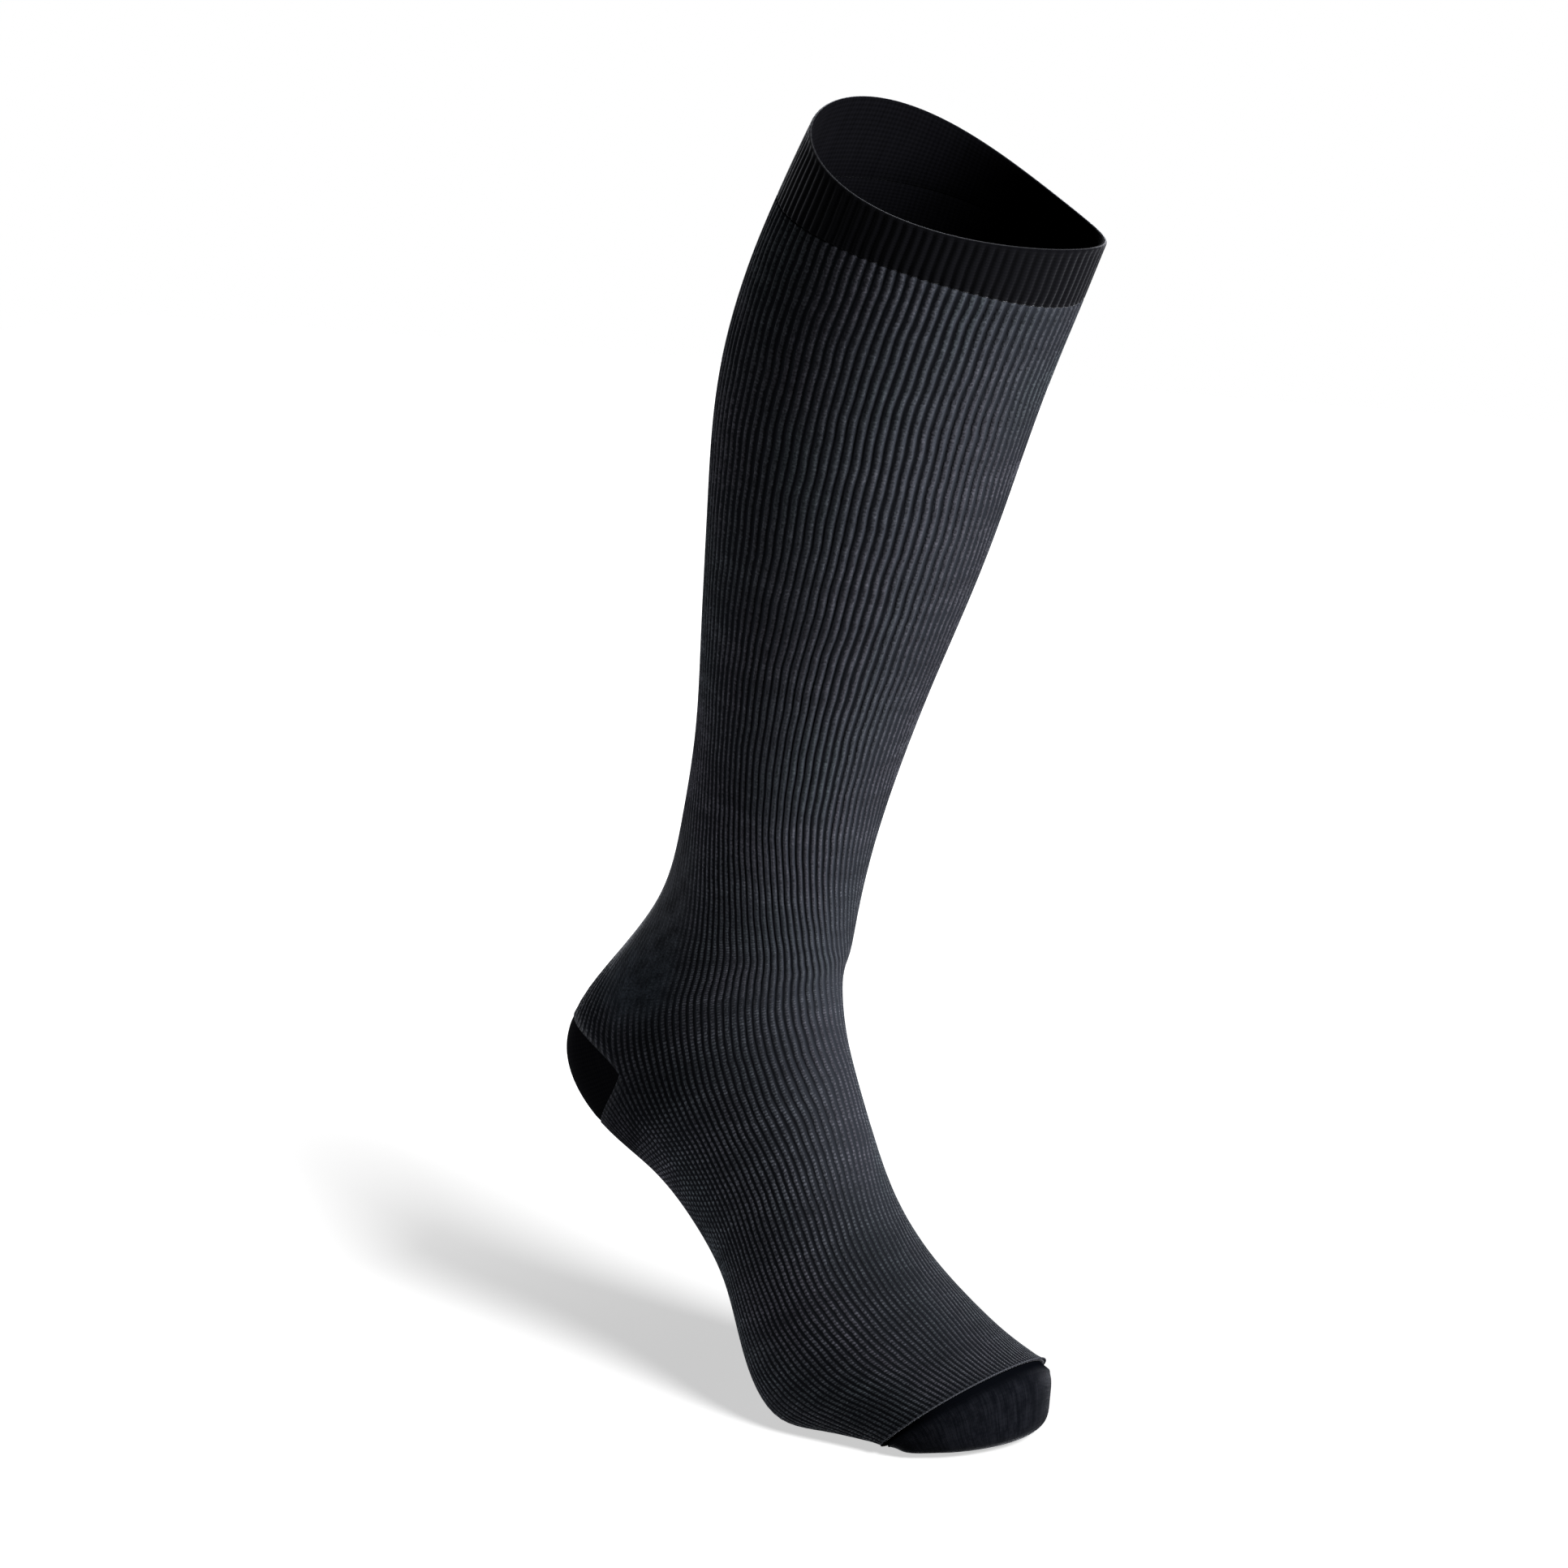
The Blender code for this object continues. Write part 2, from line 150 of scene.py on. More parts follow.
def ribTable(form):
    # at each station, the angle behind which each share of the ribs lies:
    # way round x (1 - stretch cos angle), added up
    stations = np.linspace(0, form["end"], measure["stations"])
    dense = np.linspace(0, 2 * np.pi, measure["ringSteps"] + 1)
    middle = (dense[1:] + dense[:-1]) / 2
    stretch = smoothCurve(form["knots"], form["stretch"], stations)[:, None]
    rings = pointOn(form, stations[:, None] + 0 * dense, dense + 0 * stations[:, None])
    ways = np.linalg.norm(np.diff(rings, axis=1), axis=2) * (1 - stretch * np.cos(middle))
    counted = np.concatenate([np.zeros((len(stations), 1)), np.cumsum(ways, axis=1)], axis=1)
    shares = np.linspace(0, 1, measure["ringSteps"] + 1)
    return np.array([np.interp(shares, row / row[-1], dense) for row in counted])

def ribAngle(form, reach, share):
    # bilinear between the stations and shares of the table, past a whole turn as well; share - turn / ribs
    share = share - smoothCurve(form["knots"], form["turn"], reach) / knit["ribs"]
    turns = np.floor(share)
    row = np.clip(reach / form["end"] * (measure["stations"] - 1), 0, measure["stations"] - 1.001)
    column = (share - turns) * measure["ringSteps"]
    i = row.astype(int)
    j = np.minimum(column.astype(int), measure["ringSteps"] - 1)
    p, q, table = row - i, column - j, form["ribTable"]
    low = table[i, j] * (1 - q) + table[i, j + 1] * q
    high = table[i + 1, j] * (1 - q) + table[i + 1, j + 1] * q
    return low * (1 - p) + high * p + 2 * np.pi * turns

def outward(form, reach, angle):
    # unit normal: (step along) x (step round)
    ahead = pointOn(form, np.minimum(reach + measure["shortReach"], form["end"]), angle)
    behind = pointOn(form, np.maximum(reach - measure["shortReach"], 0), angle)
    right = pointOn(form, reach, angle + measure["shortTurn"])
    left = pointOn(form, reach, angle - measure["shortTurn"])
    normal = np.cross(ahead - behind, right - left)
    return normal / np.linalg.norm(normal, axis=-1, keepdims=True)

def ease(t):
    # 3 t^2 - 2 t^3 between 0 and 1
    t = np.clip(t, 0, 1)
    return t * t * (3 - 2 * t)

def wallPoints(form, reach, share, inset, flatness=0.0, seamTilt=0.0):
    # points set in along the normal; near a seam the way in turns to lie in the seam's plane
    angle = ribAngle(form, reach, share)
    normal = outward(form, reach, angle)
    axis = np.array([-np.sin(np.radians(seamTilt)), 0, np.cos(np.radians(seamTilt))])
    flat = normal - (normal @ axis)[..., None] * axis
    flat = flat / np.maximum((flat ** 2).sum(axis=-1, keepdims=True), measure["leastFlat"])
    weight = (np.asarray(flatness) + 0 * reach)[..., None]
    normal = normal * (1 - weight) + flat * weight
    return (pointOn(form, reach, angle) - normal * (inset + 0 * reach)[..., None]) * mm

heel = {
    "reach": 359.5,         # of the pocket's two points
    "halfRibs": 16,         # from the back of the heel to a point
    "rise": 25,             # of the upper edge at the back
    "drop": 12,             # of the lower edge at the back
    "bluntness": 0.78,      # 1 is a round lens, less is blunter
    "fadeUp": 95,           # courses above bend with the pocket over this reach
    "fadeDown": 60,
    "sink": 0.2,            # its plain surface lies this far under the rib crests
    "pointGap": 0.05,
    "ribPitch": 3.3,
    "columns": 120,
    "rows": 30,
    "edgeSteps": 2,
    "edgeTurn": 0.25,       # its edges turn in by this much at the seam
    "edgeShare": 12,        # over one part in this many of its height
    "insideFrom": 0.7,      # share of the way through the wall from which the inside's yarn shows
}

def pocketLens(share):
    # (1 - (ribs off the back / half ribs)^2) ^ bluntness
    offBack = np.clip(np.abs(share - 0.5) * knit["ribs"] / heel["halfRibs"], 0, 1)
    return (1 - offBack ** 2) ** heel["bluntness"]

def level(reach, share):
    # courses that don't bend
    return reach + 0 * share

def abovePocket(reach, share):
    # courses rise towards the pocket's upper edge
    near = ease(1 - (heel["reach"] - reach) / heel["fadeUp"])
    return reach - heel["rise"] * near * pocketLens(share)

def belowPocket(reach, share):
    # courses sink towards the pocket's lower edge
    near = ease(1 - (reach - heel["reach"]) / heel["fadeDown"])
    return reach + heel["drop"] * near * pocketLens(share)

relief = {
    "crestWidth": 2.1,      # above 1 the crests are wider than the valleys
    "grooveDepth": 0.95,
    "depthReaches": (18, 28, 190, 290, 400, 480),   # the grooves are shallower where the ribs stand closer
    "depthShares": (0.65, 1.0, 1.0, 0.72, 0.68, 0.5),
    "hem": 2.5,             # the ribs rise out of the rim's fold over this reach
    "sway": 0.19,           # how far neighbouring ribs wander together, in ribs
    "swayLengths": (97, 58, 34, 21, 14.5),
    "swayTurns": (2, -3, 4, -9, 13),
    "swayShares": (0.25, 0.25, 0.25, 0.14, 0.11),
    "swayStep": 1.9,        # from one wave's phase to the next
    "stillTop": 30, "stillToe": 40, "stillPocket": 50,      # ribs lie still within these reaches
    "lipHeight": 0.4,       # the foot's edge stands proud of the toe cap
    "lipLength": 3.0,
    "flatLength": 8.0,      # walls turn into the toe seam's plane over this reach
}

rubbed = {      # a patch above the heel, worn until its ribs are gone
    "ribsOut": 28, "ribsFade": 7,
    "top": 240, "topFade": 45,
    "bottom": 350, "bottomFade": 20,
}

def ribValley(u):
    # 0 on a crest, 1 in a valley: ((1 - cos 2 pi u) / 2) ^ crestWidth
    return ((1 - np.cos(2 * np.pi * u)) / 2) ** relief["crestWidth"]

def ribSway(reach, share):
    # sum of waves along the stocking whose phase turns round it; still near the pocket and at both ends
    total = 0
    for number, (length, turns) in enumerate(zip(relief["swayLengths"], relief["swayTurns"])):
        wave = np.sin(2 * np.pi * (reach / length + turns * share) + relief["swayStep"] * number)
        total = total + relief["swayShares"][number] * wave
    calm = ease(reach / relief["stillTop"]) * ease((tube["end"] - reach) / relief["stillToe"])
    pocket = ease(1 - np.abs(reach - heel["reach"]) / relief["stillPocket"]) * pocketLens(share) ** 0.5
    return relief["sway"] * total * calm * (1 - pocket) / knit["ribs"]

def rubbedShare(rib, reach):
    # ease across the ribs x ease from its top x ease to its bottom: 1 in the middle of the patch, 0 outside
    aside = ease((rubbed["ribsOut"] - np.abs(rib - knit["ribs"] / 2)) / rubbed["ribsFade"])
    along = ease((reach - rubbed["top"]) / rubbed["topFade"])
    along = along * ease((rubbed["bottom"] - reach) / rubbed["bottomFade"])
    return aside * along

def besidePocket(rib, reach):
    # 1 on the pocket's edge, 0 past the hem from it or half a rib past its points
    within = ease(heel["halfRibs"] + 0.5 - np.abs(rib - knit["ribs"] / 2))
    return within * ease(1 - np.abs(reach - heel["reach"]) / relief["hem"])

def edgeRows(start, stop, side):
    # a rounded edge from one depth of the wall to the other: half a circle that bulges to that side
    turn = np.linspace(0, np.pi, knit["edgeSteps"] + 2)[1:-1]
    depth = start + (stop - start) * (1 - np.cos(turn)) / 2
    return side * knit["edgeBulge"] * np.sin(turn), depth

def joinRows(*parts):
    # one list of reaches and one of depths
    reach = np.concatenate([np.atleast_1d(part[0]).astype(float) for part in parts])
    depth = np.concatenate([part[1] + 0 * np.atleast_1d(part[0]) for part in parts])
    return reach, depth

def tubeStrip(form, bend, rows):
    # a strip of wall all the way round: rows of (reach, depth), columns of ribs
    reaches, depths = rows
    count = knit["ribs"] * knit["pointsPerRib"]
    u = np.arange(count) / knit["pointsPerRib"]
    reach, rib = np.meshgrid(reaches, u, indexing="ij")
    depth = np.broadcast_to(depths[:, None], reach.shape)
    share = rib / knit["ribs"]
    share = share + ribSway(reach, share)
    toSeam = form["end"] - reach
    lip = relief["lipHeight"] * ease(1 - toSeam / relief["lipLength"])
    relieved = ease(reach / relief["hem"]) * (1 - rubbedShare(rib, reach))
    relieved = relieved * (1 - besidePocket(rib, reach))
    relieved = relieved * np.interp(reach, relief["depthReaches"], relief["depthShares"])
    outerInset = relief["grooveDepth"] * ribValley(rib) * relieved - lip
    inset = outerInset * (1 - depth) + (knit["wall"] + knit["ribHeight"]) * depth
    flatness = ease(1 - toSeam / relief["flatLength"])
    bent = np.clip(bend(reach, share), 0, form["end"])
    points = wallPoints(form, bent, share, inset, flatness, form["tilt"][-1])
    course = reach / knit["coursePitch"]
    return points, np.stack([rib, course], -1)

class Cloth:
    # gathers strips of points with their knit coordinates (rib number, course number)
    def __init__(self):
        self.points, self.coordinates, self.faces, self.corners, self.finishes = [], [], [], [], []
        self.count = 0

    def add(self, points, coordinates):
        rows, columns = points.shape[:2]
        number = self.count + np.arange(rows * columns).reshape(rows, columns)
        self.points.append(points.reshape(-1, 3))
        self.coordinates.append(coordinates.reshape(-1, 2))
        self.count += rows * columns
        return number

    def face(self, number, finish, wraps, ribs=0):
        # four-sided faces between neighbouring rows and columns; the last column may join the first
        if wraps:
            number = np.concatenate([number, number[:, :1]], axis=1)
        a, b, c, d = number[:-1, :-1], number[1:, :-1], number[1:, 1:], number[:-1, 1:]
        quads = np.stack([a, b, c, d], -1).reshape(-1, 4)
        known = np.concatenate(self.coordinates)
        corner = known[quads]
        if wraps:
            last = np.zeros(a.shape, bool)
            last[:, -1] = True
            corner[last.reshape(-1), 2:, 0] += ribs
        self.faces.append(quads)
        self.corners.append(corner)
        self.finishes.append(np.broadcast_to(finish, a.shape).reshape(-1))

    def make(self, name, materials):
        points = np.concatenate(self.points)
        faces = np.concatenate(self.faces)
        mesh = bpy.data.meshes.new(name)
        mesh.from_pydata(points.tolist(), [], faces.tolist())
        layer = mesh.uv_layers.new(name="knit")
        layer.data.foreach_set("uv", np.concatenate(self.corners).astype(np.float32).ravel())
        mesh.polygons.foreach_set("material_index", np.concatenate(self.finishes).astype(np.int32))
        body = bmesh.new()
        body.from_mesh(mesh)
        bmesh.ops.remove_doubles(body, verts=body.verts, dist=measure["weld"])
        loose = [vert for vert in body.verts if not vert.link_faces]
        bmesh.ops.delete(body, geom=loose, context="VERTS")
        body.to_mesh(mesh)
        body.free()
        mesh.shade_smooth()
        for material in materials:
            mesh.materials.append(material)
        piece = bpy.data.objects.new(name, mesh)
        bpy.context.scene.collection.objects.link(piece)
        print(f"{name}: {len(mesh.polygons)} faces")
        return piece

def linearColour(code):
    # sRGB hex to linear: c / 12.92 below 0.04045, else ((c + 0.055) / 1.055) ^ 2.4
    share = np.array([int(code[i:i + 2], 16) for i in (1, 3, 5)]) / 255
    linear = np.where(share < 0.04045, share / 12.92, ((share + 0.055) / 1.055) ** 2.4)
    return (*linear.tolist(), 1.0)

def addNode(tree, kind, inputs=None, **settings):
    # a node with its settings; an input is a value, a node (its first output) or a socket
    made = tree.nodes.new("ShaderNode" + kind)
    for name, value in settings.items():
        setattr(made, name, value)
    for socket, value in (inputs or {}).items():
        if isinstance(value, bpy.types.Node):
            value = value.outputs[0]
        if isinstance(value, bpy.types.NodeSocket):
            tree.links.new(value, made.inputs[socket])
        else:
            made.inputs[socket].default_value = value
    return made

def startMaterial(name):
    material = bpy.data.materials.new(name)
    material.use_nodes = True
    tree = material.node_tree
    return material, tree, tree.nodes["Principled BSDF"]

ribKnit = {
    "lightYarn": "#35353B",
    "lightYarnWorn": "#313539",
    "groundYarn": "#202227",
    "groundBackPaintedShade": 0.55,     # painted shade and light: the ground yarn is darker at the back of the leg and lighter at the front
    "groundFrontPaintedLight": 1.7,
    "groundFootPaintedShade": 0.67,     # painted shade: darker again on the foot
    "footShade": 1.17,      # the light yarn on the foot, over that on the leg
    "toePaintedShade": 0.6,        # painted shade: both yarns are darker on top of the toes
    "heelPaintedShade": 0.36,      # and painted shade round the pocket
    "kink": 0.3,            # neighbouring ribs step sideways together, in ribs
    "jitter": 0.34,         # each stitch sits off its line, in ribs
    "courseJitter": 0.3,    # and off its course
    "lightHalf": 0.225,     # half the light stripe, in ribs
    "softness": 0.07,
    "stitchEdge": (0.12, 0.46),     # a stitch fades out between these, in courses from its middle
    "calfGap": 0.70,        # how light the yarn stays between two stitches on the calf
    "footGap": 0.2,
    "soleEdge": (0.3, 0.8),         # on the sole the stitches lie in pairs, which fade out between these
    "soleLight": 1.1,
    "soleGap": 0.06,        # how light the yarn stays between two pairs
    "solePitch": 1.25,      # courses of the sole in one course of the leg
    "soleSlant": 0.9,       # each rib's pairs stand further up than its neighbour's
    "soleEasing": 12,
    "chance": (0.8, 1.16),  # one stitch is lighter than the next
    "speckle": (0.5, 1.4),  # and each is speckled by its filaments
    "noiseRange": (0.3, 0.7),       # the lowest and highest values of a noise that count
    "dyeRange": (0.35, 0.65),
    "rows": 0.22,           # how much lighter or darker whole rows of stitches are
    "tufts": (0.6, 1.4),
    "bump": 0.5,
    "bumpHeight": 0.0003,
    "roughness": 0.92,
    "sheen": 0.4,
    "sheenRoughness": 0.3,
    "sheenTint": "#BDBFC6",
    "specular": 0.0,
    "haze": 0.85,           # rubbed, fluffy cloth above the heel
    "hazeAbove": "#1F2023",
    "hazeBelow": "#16191D",
}
patchStart, patchEnd = rubbed["top"] / knit["coursePitch"], rubbed["bottom"] / knit["coursePitch"]
topFade, bottomFade = rubbed["topFade"] / knit["coursePitch"], rubbed["bottomFade"] / knit["coursePitch"]
ribRamps = {
    # name: over ribs off the back or courses from the rim; start, stop; value before and after
    "nearBack": ("rib", 20, 33, 1, 0),
    "pastHeel": ("course", 255, 272, 0, 1),
    "beforeToes": ("course", 296, 322, 1, 0.25),
    "stitchGap": ("course", 160, 260, ribKnit["calfGap"], ribKnit["footGap"]),
    "footYarn": ("course", 150, 260, 1, ribKnit["footShade"]),
    "overPocket": ("course", 208, 225, 0, 1),
    "underPocket": ("course", 262, 285, 1, 0),
    "pastBall": ("course", 300, 338, 0, 1),
    "onTop": ("rib", 30, 42, 0, 1),
    # painted shade at the back of the leg and painted light at the front, on the ground yarn
    "paintedGroundRound": ("rib", 28, 48, ribKnit["groundBackPaintedShade"], ribKnit["groundFrontPaintedLight"]),
    # painted shade in the foot's grooves
    "paintedGroundDown": ("course", 235, 290, 1, ribKnit["groundFootPaintedShade"]),
    "hazeDown": ("course", 200, 236, 0, 1),
    "patchTop": ("course", patchStart, patchStart + topFade, 0, 1),
    "patchBottom": ("course", patchEnd - bottomFade, patchEnd, ribKnit["haze"], 0),
    "patchAside": ("rib", rubbed["ribsOut"] - rubbed["ribsFade"], rubbed["ribsOut"], 1, 0),
}
ribPlaces = {
    # name: the ramps whose product it is
    "sole": ("nearBack", "pastHeel", "beforeToes"),
    "pocketShadeArea": ("overPocket", "underPocket", "nearBack"),
    "onToes": ("pastBall", "onTop"),
    "groundPaintedLightAndShade": ("paintedGroundRound", "paintedGroundDown"),
    "haze": ("patchTop", "patchBottom", "patchAside"),
}
ribNoises = {
    # name: shift in ribs and courses, slant, waves in a rib and in a course, detail
    "kink": (0, 0, 0, 0.12, 0.11, 2),
    "jitter": (7.3, 2.1, 0, 1.7, 1.1, 2),
    "speck": (0, 0, 0, 3.1, 1.6, 3),
    "dye": (0, 0, 0, 0.07, 0.02, 2),
    "row": (0, 0, 0, 0.03, 0.17, 1),
    "tufts": (0, 0, 0.6, 0.45, 0.2, 3),
}

def makeRibKnit(look):
    # Polyamide and elastane 1x1 rib in two yarns: grey ribs of plain stitches over a black ground.
    # The eye sees cords of small beads, black grooves between them, and a faint bloom of fibre at the sides.
    material, tree, shader = startMaterial("ribbedPolyamideKnit")
    knitMap = addNode(tree, "UVMap", uv_map="knit")
    across = addNode(tree, "SeparateXYZ", {0: knitMap})
    u, v = across.outputs[0], across.outputs[1]
    # how far the rib is from the back of the leg, in ribs
    fromBack = addNode(tree, "Math", {0: u, 1: knit["ribs"] / 2}, operation="SUBTRACT")
    offBack = addNode(tree, "Math", {0: fromBack}, operation="ABSOLUTE")
    share = {}
    for name, (over, start, stop, before, after) in ribRamps.items():
        share[name] = addNode(tree, "MapRange", {
            "Value": offBack if over == "rib" else v, "From Min": start, "From Max": stop,
            "To Min": before, "To Max": after,
        }, interpolation_type="SMOOTHSTEP")
    for name, (first, *others) in ribPlaces.items():
        share[name] = share[first]
        for other in others:
            share[name] = addNode(tree, "Math", {0: share[name], 1: share[other]}, operation="MULTIPLY")
    noise = {}
    for name, (aside, along, slant, perRib, perCourse, detail) in ribNoises.items():
        placed = addNode(tree, "Mapping", {
            0: knitMap, 1: (aside, along, 0), 2: (0, 0, slant), 3: (perRib, perCourse, 1),
        })
        noise[name] = addNode(tree, "TexNoise", {
            "Vector": placed, "Scale": 1.0, "Detail": detail,
        }, noise_dimensions="2D")
    # where the stitch is: u + kink (noise - 0.5) + jitter (noise - 0.5), and v + course jitter (noise - 0.5)
    kinked = addNode(tree, "Math", {0: noise["kink"], 1: 0.5}, operation="SUBTRACT")
    stepped = addNode(tree, "Math", {0: kinked, 1: look["kink"], 2: u}, operation="MULTIPLY_ADD")
    off = addNode(tree, "Math", {0: noise["jitter"], 1: 0.5}, operation="SUBTRACT")
    ribPlace = addNode(tree, "Math", {0: off, 1: look["jitter"], 2: stepped}, operation="MULTIPLY_ADD")
    coursePlace = addNode(tree, "Math", {0: off, 1: look["courseJitter"], 2: v}, operation="MULTIPLY_ADD")
    # 0 on the crest's line, 0.5 in the groove
    offCrest = addNode(tree, "Math", {0: ribPlace, 1: 0.5}, operation="PINGPONG")
    stripe = addNode(tree, "MapRange", {
        "Value": offCrest, "From Min": look["lightHalf"] - look["softness"],
        "From Max": look["lightHalf"] + look["softness"], "To Min": 1.0, "To Max": 0.0,
    }, interpolation_type="SMOOTHSTEP")
    # 0 in the middle of a stitch, 0.5 between two
    offStitch = addNode(tree, "Math", {0: coursePlace, 1: 0.5}, operation="PINGPONG")
    bead = addNode(tree, "MapRange", {
        "Value": offStitch, "From Min": look["stitchEdge"][0], "From Max": look["stitchEdge"][1],
        "To Min": 1.0, "To Max": share["stitchGap"],
    }, interpolation_type="SMOOTHSTEP")
    # 0 in the middle of a pair on the sole, 1 between two:
    # pitch v - slant sqrt(ribs off the back^2 + easing^2)
    cellU = addNode(tree, "Math", {0: ribPlace}, operation="ROUND")
    cellOff = addNode(tree, "Math", {0: cellU, 1: knit["ribs"] / 2}, operation="SUBTRACT")
    squared = addNode(tree, "Math", {
        0: cellOff, 1: cellOff, 2: look["soleEasing"] ** 2,
    }, operation="MULTIPLY_ADD")
    slanted = addNode(tree, "Math", {0: squared}, operation="SQRT")
    raised = addNode(tree, "Math", {0: slanted, 1: look["soleSlant"]}, operation="MULTIPLY")
    pairPlace = addNode(tree, "Math", {0: v, 1: look["solePitch"]}, operation="MULTIPLY")
    pairRaised = addNode(tree, "Math", {0: pairPlace, 1: raised}, operation="SUBTRACT")
    offPair = addNode(tree, "Math", {0: pairRaised, 1: 1.0}, operation="PINGPONG")
    pair = addNode(tree, "MapRange", {
        "Value": offPair, "From Min": look["soleEdge"][0], "From Max": look["soleEdge"][1],
        "To Min": look["soleLight"], "To Max": look["soleGap"],
    }, interpolation_type="SMOOTHSTEP")
    beads = addNode(tree, "Mix", {"Factor": share["sole"], 2: bead, 3: pair}, data_type="FLOAT")
    covered = addNode(tree, "Math", {0: stripe, 1: beads.outputs[0]}, operation="MULTIPLY")
    # the light yarn: its dye x the stitch's own lightness x its speckles x the foot's shade x its row's
    cellV = addNode(tree, "Math", {0: coursePlace}, operation="ROUND")
    cell = addNode(tree, "CombineXYZ", {0: cellU, 1: cellV})
    chance = addNode(tree, "TexWhiteNoise", {"Vector": cell}, noise_dimensions="2D")
    lightness = addNode(tree, "MapRange", {
        "Value": chance, "To Min": look["chance"][0], "To Max": look["chance"][1],
    })
    shade = {}
    for name, low, high in (
        ("speck", *look["speckle"]),
        ("row", 1.0 - look["rows"], 1.0 + look["rows"]),
        ("tufts", *look["tufts"]),
    ):
        shade[name] = addNode(tree, "MapRange", {
            "Value": noise[name], "From Min": look["noiseRange"][0], "From Max": look["noiseRange"][1],
            "To Min": low, "To Max": high,
        })
    both = addNode(tree, "Math", {0: lightness, 1: shade["speck"]}, operation="MULTIPLY")
    strength = addNode(tree, "Math", {0: both, 1: share["footYarn"]}, operation="MULTIPLY")
    rowed = addNode(tree, "Math", {0: strength, 1: shade["row"]}, operation="MULTIPLY")
    driftShare = addNode(tree, "MapRange", {
        "Value": noise["dye"], "From Min": look["dyeRange"][0], "From Max": look["dyeRange"][1],
    })
    yarn = addNode(tree, "Mix", {
        "Factor": driftShare, 6: linearColour(look["lightYarn"]), 7: linearColour(look["lightYarnWorn"]),
    }, data_type="RGBA")
    shaded = addNode(tree, "VectorMath", {0: yarn.outputs[2], "Scale": rowed}, operation="SCALE")
    # the ground yarn's colour times painted shade at the back and on the foot, and painted light at the
    # front
    ground = addNode(tree, "VectorMath", {
        0: linearColour(look["groundYarn"])[:3], "Scale": share["groundPaintedLightAndShade"],
    }, operation="SCALE")
    twoYarns = addNode(tree, "Mix", {"Factor": covered, 6: ground, 7: shaded}, data_type="RGBA")
    # painted shade round the pocket, on both yarns
    pocketPaintedShade = addNode(tree, "MapRange", {
        "Value": share["pocketShadeArea"], "To Min": 1.0, "To Max": look["heelPaintedShade"],
    })
    # painted shade on top of the toes
    toePaintedShade = addNode(tree, "MapRange", {
        "Value": share["onToes"], "To Min": 1.0, "To Max": look["toePaintedShade"],
    })
    # both painted shades together, on both yarns
    paintedPlaceShade = addNode(tree, "Math", {0: pocketPaintedShade, 1: toePaintedShade}, operation="MULTIPLY")
    knitted = addNode(tree, "VectorMath", {0: twoYarns.outputs[2], "Scale": paintedPlaceShade}, operation="SCALE")
    # the rubbed patch above the heel, where the ribs fade into soft slanting tufts of fluff
    fibre = addNode(tree, "Mix", {
        "Factor": share["hazeDown"], 6: linearColour(look["hazeAbove"]), 7: linearColour(look["hazeBelow"]),
    }, data_type="RGBA")
    fluffShade = addNode(tree, "Math", {0: shade["tufts"], 1: shade["speck"]}, operation="MULTIPLY")
    fluff = addNode(tree, "VectorMath", {0: fibre.outputs[2], "Scale": fluffShade}, operation="SCALE")
    colour = addNode(tree, "Mix", {"Factor": share["haze"], 6: knitted, 7: fluff}, data_type="RGBA")
    bump = addNode(tree, "Bump", {
        "Height": covered, "Strength": look["bump"], "Distance": look["bumpHeight"],
    })
    tree.links.new(colour.outputs[2], shader.inputs["Base Color"])
    tree.links.new(bump.outputs[0], shader.inputs["Normal"])
    clothSockets(shader, look)
    return material

def clothSockets(shader, look):
    shader.inputs["Roughness"].default_value = look["roughness"]
    shader.inputs["Specular IOR Level"].default_value = look["specular"]
    shader.inputs["Sheen Weight"].default_value = look["sheen"]
    shader.inputs["Sheen Roughness"].default_value = look["sheenRoughness"]
    shader.inputs["Sheen Tint"].default_value = linearColour(look["sheenTint"])

plainKnits = {
    # name: rib and groove yarn, stitches in a unit of the map, how much of it is streaks, sheen
    "elasticBandKnit": {
        "crest": "#0B0B0E", "groove": "#050507", "stitches": 1, "streak": 0.3,
        "sheen": 0.7, "sheenRoughness": 0.36,
    },
    "plainHeelKnit": {"crest": "#060607", "groove": "#020203", "stitches": 2, "streak": 0.2, "sheen": 0.05},
    "fineToeKnit": {
        "crest": "#121317", "groove": "#050609", "stitches": 2, "streak": 0.75, "sheen": 0.36,
        "lipShadowFrom": 1.0, "lipShadowCourses": 4.5, "lipShadowDepth": 0.0,   # painted shadow: it is darker under the foot's edge
        "mottle": 0.65,         # and patchy, as it is brushed
    },
    "insideKnit": {"crest": "#0C0C0F", "groove": "#040405", "stitches": 2, "streak": 0.2, "sheen": 0.05},
}

plainSurface = {
    "streakScale": (1.3, 0.05, 1),      # long streaks down the cloth
    "streakRange": (0.3, 0.7),
    "patchScale": (0.22, 0.25, 1),
    "patchRange": (0.35, 0.65),
    "patchRoughness": 0.7,
    "bump": 0.4,
    "bumpHeight": 0.0002,
}

